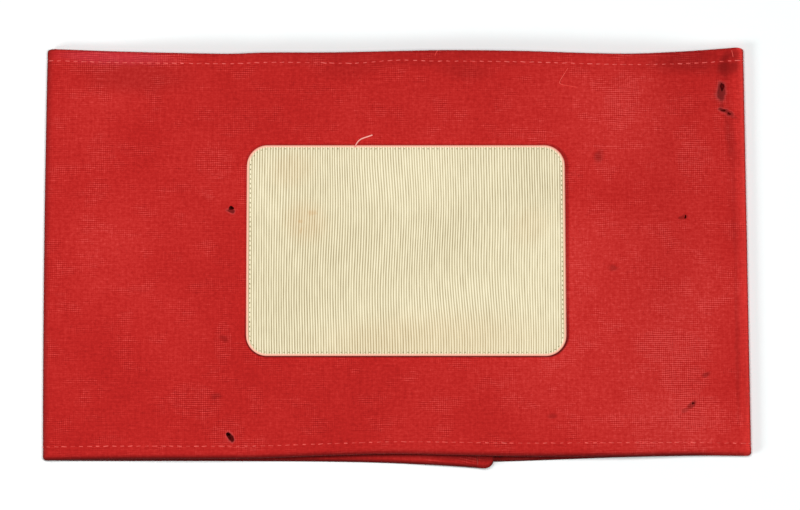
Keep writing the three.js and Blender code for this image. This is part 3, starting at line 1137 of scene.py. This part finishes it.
def stain_mask(tree, places, stains, height_from=FRONT_FROM, fade=0.75):
    """Where the stains are, from 0 to 1, and only above a height. Their uneven edges fade over a share
    of their reach."""
    uneven = add(tree, "TexNoise", {"Vector": places, "Scale": 1 / (STAIN_GRAIN * MM), "Detail": 3.0})
    reach, middle = STAIN_SWING * MM, STAIN_SWING * MM / 2
    swing = (uneven.outputs["Color"], (reach, reach, 0.0), places)
    shifted = add(tree, "VectorMath", swing, operation="MULTIPLY_ADD")
    centred = add(tree, "VectorMath", (shifted, (middle, middle, 0.0)), operation="SUBTRACT")
    mask = None
    for stain in stains:
        place = {
            "Vector": centred,
            "Location": (stain.x * MM, stain.y * MM, 0.0),
            "Rotation": (0.0, 0.0, math.radians(stain.turn)),
            "Scale": (stain.long * MM, stain.wide * MM, 1.0),
        }
        local = add(tree, "Mapping", place, vector_type="TEXTURE")
        ball = add(tree, "TexGradient", {"Vector": local}, gradient_type="SPHERICAL")
        fading = span(ball.outputs["Fac"], 0.0, fade, 0.0, stain.strength)
        soft = add(tree, "MapRange", fading, interpolation_type="SMOOTHSTEP")
        mask = add(tree, "Math", (mask, soft), operation="MAXIMUM") if mask else soft
    height = add(tree, "SeparateXYZ", {"Vector": places}).outputs["Z"]
    front = add(tree, "MapRange", span(height, height_from * MM, (height_from + 1) * MM))
    return add(tree, "Math", (mask, front), operation="MULTIPLY")


def level_of(tree, parts):
    """A level that is one half where each part has its usual value, and swings with each by its weight."""
    total = 0.5 - sum(weight * usual for _, weight, usual in parts)
    for part, weight, _ in parts:
        total = add(tree, "Math", (part, weight, total), operation="MULTIPLY_ADD")
    return total


def streaks(tree, places, across, up, detail, roughness=0.5):
    """Noise whose marks have a size in millimetres across the cloth and up it."""
    drawn = add(tree, "Mapping", {"Vector": places, "Scale": (1 / (across * MM), 1 / (up * MM), 1.0)})
    return add(tree, "TexNoise", {"Vector": drawn, "Scale": 1.0, "Detail": detail, "Roughness": roughness})


def painted_shadow_round_label(tree, places):
    """A thin painted shadow on the front, along the label's edge, strongest under its lower edge."""
    reach = ((LABEL_HALF_WIDTH - LABEL_CORNER) * MM, (LABEL_HALF_HEIGHT - LABEL_CORNER) * MM, 1.0)
    middle = add(tree, "VectorMath", (places, (LABEL_X * MM, LABEL_Y * MM, 0.0)), operation="SUBTRACT")
    side = add(tree, "VectorMath", (middle,), operation="ABSOLUTE")
    past = add(tree, "VectorMath", (side, reach), operation="SUBTRACT")
    over = add(tree, "VectorMath", (past, (0.0, 0.0, 0.0)), operation="MAXIMUM")
    distance = add(tree, "VectorMath", (over,), operation="LENGTH").outputs["Value"]
    near, far = (LABEL_CORNER + 0.15) * MM, (LABEL_CORNER + 0.6) * MM
    line = add(tree, "MapRange", span(distance, near, far, 1.0, 0.0))
    height = add(tree, "SeparateXYZ", {"Vector": middle})
    lowest = -LABEL_HALF_HEIGHT * MM
    below = add(tree, "MapRange", span(height.outputs["Y"], lowest, 0.5 * lowest, 1.0, 0.3))
    front = add(tree, "Math", (height.outputs["Z"], FRONT_FROM * MM), operation="GREATER_THAN")
    lower = add(tree, "Math", (line, below), operation="MULTIPLY")
    return add(tree, "Math", (lower, front), operation="MULTIPLY")


def wool_cloth():
    """Plain woven wool, fulled so that the nap hides the weave. The eye reads matt red with darker
    mottling, and the weave only in patches where the nap is worn, most of all its lighter weft."""
    material, tree, places = new_material("fulled wool cloth", {
        "Roughness": 0.95,
        "IOR": 1.5,
        "Specular IOR Level": 0.12,
        "Sheen Weight": 0.03,
        "Sheen Roughness": 0.45,
        "Sheen Tint": srgb("#ff8a7d"),
    })
    cloth = add(tree, "UVMap", uv_map="cloth")
    drift = add(tree, "TexNoise", {"Vector": cloth, "Scale": 1 / (DRIFT_REACH * MM), "Detail": 2.0})
    swing = (drift.outputs["Color"], (THREAD_DRIFT * MM, THREAD_DRIFT * MM, 0.0), cloth)
    threads = add(tree, "VectorMath", swing, operation="MULTIPLY_ADD")

    patches = streaks(tree, cloth, WORN_PATCH / 0.6, WORN_PATCH, 4.0)
    here_and_there = add(tree, "MapRange", span(patches, 0.49, 0.64, 0.08, 0.85))
    worn_places = stain_mask(tree, places, WORN_PLACES, fade=0.35)
    worn = add(tree, "Math", (here_and_there, worn_places), operation="MAXIMUM")
    # A wave texture of scale k repeats every pi / (10 k)
    weave = {"Vector": threads, "Scale": math.pi / (10 * WEAVE_PITCH * MM)}
    shown = []
    for direction, across, up in (("Y", 4.0, 1.1), ("X", 1.1, 4.0)):
        wave = add(tree, "TexWave", weave, bands_direction=direction).outputs["Fac"]
        swing = add(tree, "Math", (wave, 0.48), operation="SUBTRACT")
        bare = add(tree, "MapRange", span(streaks(tree, cloth, across, up, 2.0), 0.38, 0.58, 0.45, 1.0))
        seen = add(tree, "Math", (worn, bare), operation="MULTIPLY")
        shown.append(add(tree, "Math", (swing, seen), operation="MULTIPLY"))
    weft_shown, warp_shown = shown
    felt_noise = streaks(tree, cloth, FELT_MOTTLE / 0.75, FELT_MOTTLE, 2.0, roughness=0.75)
    felt = add(tree, "MapRange", span(felt_noise, 0.3, 0.7))
    uneven_threads = [streaks(tree, threads, across, up, 1.0) for across, up in ((7.0, 0.6), (0.6, 6.0))]
    tone_noise = add(tree, "TexNoise", {"Vector": places, "Scale": 1 / (CLOTH_TONE * MM), "Detail": 4.0})
    tone = add(tree, "MapRange", span(tone_noise, 0.3, 0.7))

    level = level_of(tree, [
        (felt, 0.29, 0.5),
        *((uneven, 0.24, 0.5) for uneven in uneven_threads),
        (weft_shown, 0.66, 0.0),
        (warp_shown, 0.36, 0.0),
        (tone, 0.18, 0.5),
        (stain_mask(tree, places, SUN_BLEACHED), 0.31, 0.0),
    ])
    reds = add(tree, "ValToRGB", {"Fac": level})
    between = ((0.3, "#a51917"), (0.5, "#b3201d"), (0.7, "#c02d29"))
    set_stops(reds.color_ramp, (0.1, "#951314"), (1.0, "#da4c48"), *between)

    painted_shade, painted_light, wrong_side = (
        add(tree, "Attribute", attribute_name=name).outputs["Fac"]
        for name in ("painted_shade", "painted_light", "wrong_side")
    )
    high_threads = add(tree, "Math", (level, 1.6, 0.2), operation="MULTIPLY_ADD")
    moth_hole_shade = stain_mask(tree, places, MOTH_HOLE_SHADE, height_from=-1.0)
    cut_ends = stain_mask(tree, places, CUT_ENDS, fade=0.4)
    colour = reds
    for share, tint in (
        (stain_mask(tree, places, FADED_PLACES), "#cb4258"),
        # Soiling, and painted shade in the crease near the right fold
        (stain_mask(tree, places, SOILED_AND_SHADED_PLACES), "#6a0d0d"),
        (add(tree, "Math", (cut_ends, patches), operation="MULTIPLY"), "#e06a68"),
        (stain_mask(tree, places, EATEN_PLACES, fade=0.4), "#4c0000"),
        # Painted shadow of the label's edge
        (painted_shadow_round_label(tree, places), "#5c0c0b"),
        # Painted light on the right fold
        (add(tree, "Math", (painted_light, high_threads), operation="MULTIPLY"), "#fb403a"),
        # Painted shade along the hem folds, on the left end and under the front's edge
        (add(tree, "Math", (painted_shade, 0.92), operation="MULTIPLY"), "#420303"),
        # Painted shade on the inner face, inside the loop
        (add(tree, "Math", (wrong_side, 0.8), operation="MULTIPLY"), "#4a0808"),
        # Painted shade under each moth hole
        (add(tree, "Math", (wrong_side, moth_hole_shade), operation="MULTIPLY"), "#680303"),
    ):
        colour = add(tree, "Mix", {"Factor": share, "A": colour, "B": srgb(tint)}, data_type="RGBA")

    rough = level_of(tree, [(felt, 1.0, 0.5), (weft_shown, 0.8, 0.0), (warp_shown, 0.8, 0.0)])
    return dress(material, colour, rough, strength=0.6, depth=0.08)


def rib_cloth():
    """Silk and cotton rep: fine threads over thick ones, so that it shows as close ribs. Cream, yellowed
    with age, with a dull sheen. Its crests are painted lighter and the grooves between them a darker brown,
    as painted highlight and shade."""
    material, tree, places = new_material("ribbed rep cloth", {
        "Roughness": 0.62,
        "IOR": 1.5,
        "Specular IOR Level": 0.35,
        "Sheen Weight": 0.08,
        "Sheen Roughness": 0.4,
    })
    cloth = add(tree, "UVMap", uv_map="cloth")
    across = add(tree, "SeparateXYZ", {"Vector": cloth}).outputs["X"]
    turn = add(tree, "Math", (across, math.pi / (RIB_PITCH * MM)), operation="MULTIPLY")
    wave = add(tree, "Math", (turn,), operation="SINE")
    crest = add(tree, "Math", (wave,), operation="ABSOLUTE")
    painted_rib_shading = add(tree, "Math", (crest, crest), operation="MULTIPLY")
    fine_scale = math.pi / (10 * CROSSING_PITCH * MM)
    crossing = {"Vector": cloth, "Scale": fine_scale, "Distortion": 1.5, "Detail": 2.0}
    fine = add(tree, "TexWave", crossing, bands_direction="Y")
    uneven = streaks(tree, cloth, 0.7, 7, 3.0)
    tone = add(tree, "TexNoise", {"Vector": places, "Scale": 1 / (LABEL_TONE * MM), "Detail": 3.0})

    # The ribs' crests and grooves are painted lighter and darker, as painted highlight and shade
    level = level_of(tree, [(painted_rib_shading, 0.62, 0.5), (uneven, 0.4, 0.5), (tone, 0.3, 0.5)])
    colour = add(tree, "ValToRGB", {"Fac": level})
    set_stops(colour.color_ramp, (0.15, "#a69671"), (0.85, "#f4eaca"), (0.5, "#ded3ae"))
    inside = add(tree, "Attribute", attribute_name="inside").outputs["Fac"]
    rim = add(tree, "MapRange", span(inside, 0.4 * MM, 0.75 * MM, 0.9, 0.0))
    for share, tint in ((stain_mask(tree, places, LABEL_STAINS), "#c79a60"), (rim, "#fbb29b")):
        colour = add(tree, "Mix", {"Factor": share, "A": colour, "B": srgb(tint)}, data_type="RGBA")

    grain = add(tree, "Math", (fine.outputs["Fac"], 0.5, uneven), operation="MULTIPLY_ADD")
    return dress(material, colour, grain, strength=0.35, depth=0.05)


def thread(name, dark, light, roughness):
    """Spun thread: matt, and uneven in colour along its length where the dye has faded."""
    surface = {"Roughness": roughness, "IOR": 1.5, "Specular IOR Level": 0.12}
    material, tree, places = new_material(name, surface)
    faded = add(tree, "TexNoise", {"Vector": places, "Scale": 1 / (2.5 * MM), "Detail": 4.0})
    share = add(tree, "MapRange", span(faded, 0.35, 0.65))
    colour = add(tree, "Mix", {"Factor": share, "A": srgb(dark), "B": srgb(light)}, data_type="RGBA")
    twist = add(tree, "TexNoise", {"Vector": places, "Scale": 1 / (0.12 * MM), "Detail": 1.0})
    return dress(material, colour, twist, strength=0.5, depth=0.03)


def white_board():
    """Matt white board, as the plain table under the armband."""
    material, tree, places = new_material("matt white board", {"Roughness": 0.9, "Specular IOR Level": 0.1})
    tone = add(tree, "TexNoise", {"Vector": places, "Scale": 3.0, "Detail": 2.0})
    tints = {"Factor": tone, "A": srgb("#f3f8f8"), "B": srgb("#f6fbfb")}
    return dress(material, add(tree, "Mix", tints, data_type="RGBA"))


# The scene


def make_camera():
    """Straight above the armband, framed as the photograph is."""
    low, high = solid_box
    pixel = (high.x - low.x) / (OUTLINE_RIGHT - OUTLINE_LEFT)
    x = low.x + (PHOTO_WIDTH / 2 - OUTLINE_LEFT) * pixel
    y = high.y - (PHOTO_HEIGHT / 2 - OUTLINE_TOP) * pixel
    camera = new_object("camera", bpy.data.cameras.new("camera"))
    camera.location = (x, y, CAMERA_DISTANCE)
    camera.data.sensor_width = SENSOR_WIDTH
    camera.data.lens = SENSOR_WIDTH * CAMERA_DISTANCE / (PHOTO_WIDTH * pixel)
    bpy.context.scene.camera = camera


def make_lights():
    for name, softbox in SOFTBOXES.items():
        data = bpy.data.lights.new(name, "AREA")
        data.shape = "RECTANGLE"
        data.size, data.size_y = softbox.length, softbox.width
        data.energy = softbox.power
        light = new_object(name, data)
        toward = Vector(softbox.toward).normalized()
        light.location = toward * softbox.distance
        light.rotation_mode = "QUATERNION"
        light.rotation_quaternion = toward.to_track_quat("Z", "Y")
    world = bpy.data.worlds.new("studio")
    world.use_nodes = True
    sky = world.node_tree.nodes["Background"]
    sky.inputs["Color"].default_value = (1.0, 1.0, 1.0, 1.0)
    sky.inputs["Strength"].default_value = SKY_STRENGTH
    bpy.context.scene.world = world
    bpy.context.scene.view_settings.view_transform = "Standard"


def make_floor():
    half, under = 3000, -0.05
    corners = [(-half, -half, under), (half, -half, under), (half, half, under), (-half, half, under)]
    floor = new_object("floor", mesh_of("floor", corners, [(0, 1, 2, 3)], [white_board()]))


make_camera()
make_lights()
make_floor()

upper_thread = thread("much faded red cotton thread", "#cf413d", "#ec6e68", 0.8)
lower_thread = thread("faded red cotton thread", "#cc3b36", "#ea625b", 0.8)
lap_thread = thread("dirty red cotton thread", "#6a1310", "#b23c36", 0.8)
olive_thread = thread("olive cotton thread", "#857e58", "#b0a67e", 0.75)
pink_thread = thread("pink cotton thread", "#f7a196", "#ffbdb0", 0.7)
rib_material = rib_cloth()
wool_fibre = thread("red wool fibre", "#a81c1b", "#cf3d39", 0.9)
dirty_fibre = thread("dirty wool fibre", "#4a0d0c", "#8c2321", 0.9)
pale_fibre = thread("pale wool fibre", "#ee4a42", "#f86a60", 0.8)

sheet = band_sheet()
band = new_object("wool_band", band_mesh(sheet, wool_cloth()))
cut_moth_holes(band)
band.data.shade_smooth()
band.data.set_sharp_from_angle(angle=SHARP_EDGE)

sewn_on_band = [
    sew("upper_hem_stitches", hem_lines(sheet, upper=True), HEM_STITCHES, UPPER_SEED, upper_thread),
    sew("lower_hem_stitches", hem_lines(sheet, upper=False), HEM_STITCHES, LOWER_SEED, lower_thread),
    sew("lap_stitches", lap_lines(sheet), LAP_STITCHES, LAP_SEED, lap_thread),
]

rib_sizes = {"Rise": RIB_RISE * MM, "Material": rib_material}
label = grow("rib_label", label_shell(rib_material), rib_tree(), rib_sizes)
label.data.set_sharp_from_angle(angle=SHARP_EDGE)
label_stitches = sew("label_stitches", label_line(), LABEL_STITCHES, LABEL_SEED, olive_thread)

nap = grow("wool_nap", band.data.copy(), nap_tree(), {
    "Fibres per square metre": NAP_PER_SQUARE_METRE,
    "Length": NAP_LENGTH * MM,
    "Fibre radius": NAP_RADIUS * MM,
    "Seed": NAP_SEED,
    "Material": wool_fibre,
})
frays = strands("moth_frays", fray_lines(), FRAY_RADIUS, dirty_fibre)
label_thread = strands("label_thread", LABEL_THREAD, LABEL_THREAD_RADIUS, pink_thread)
hairs = strands("loose_hairs", LOOSE_HAIRS, HAIR_RADIUS, pale_fibre)

on_band = [*sewn_on_band, nap, frays, hairs]
on_label = [label_stitches, label_thread]
for carrier, pieces, slot, node in (
    (band, on_band, "red_wool", "band"),
    (label, on_label, "cream_rib", "patch"),
):
    for piece in (carrier, *pieces):
        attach(piece, "root")
    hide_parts(node)
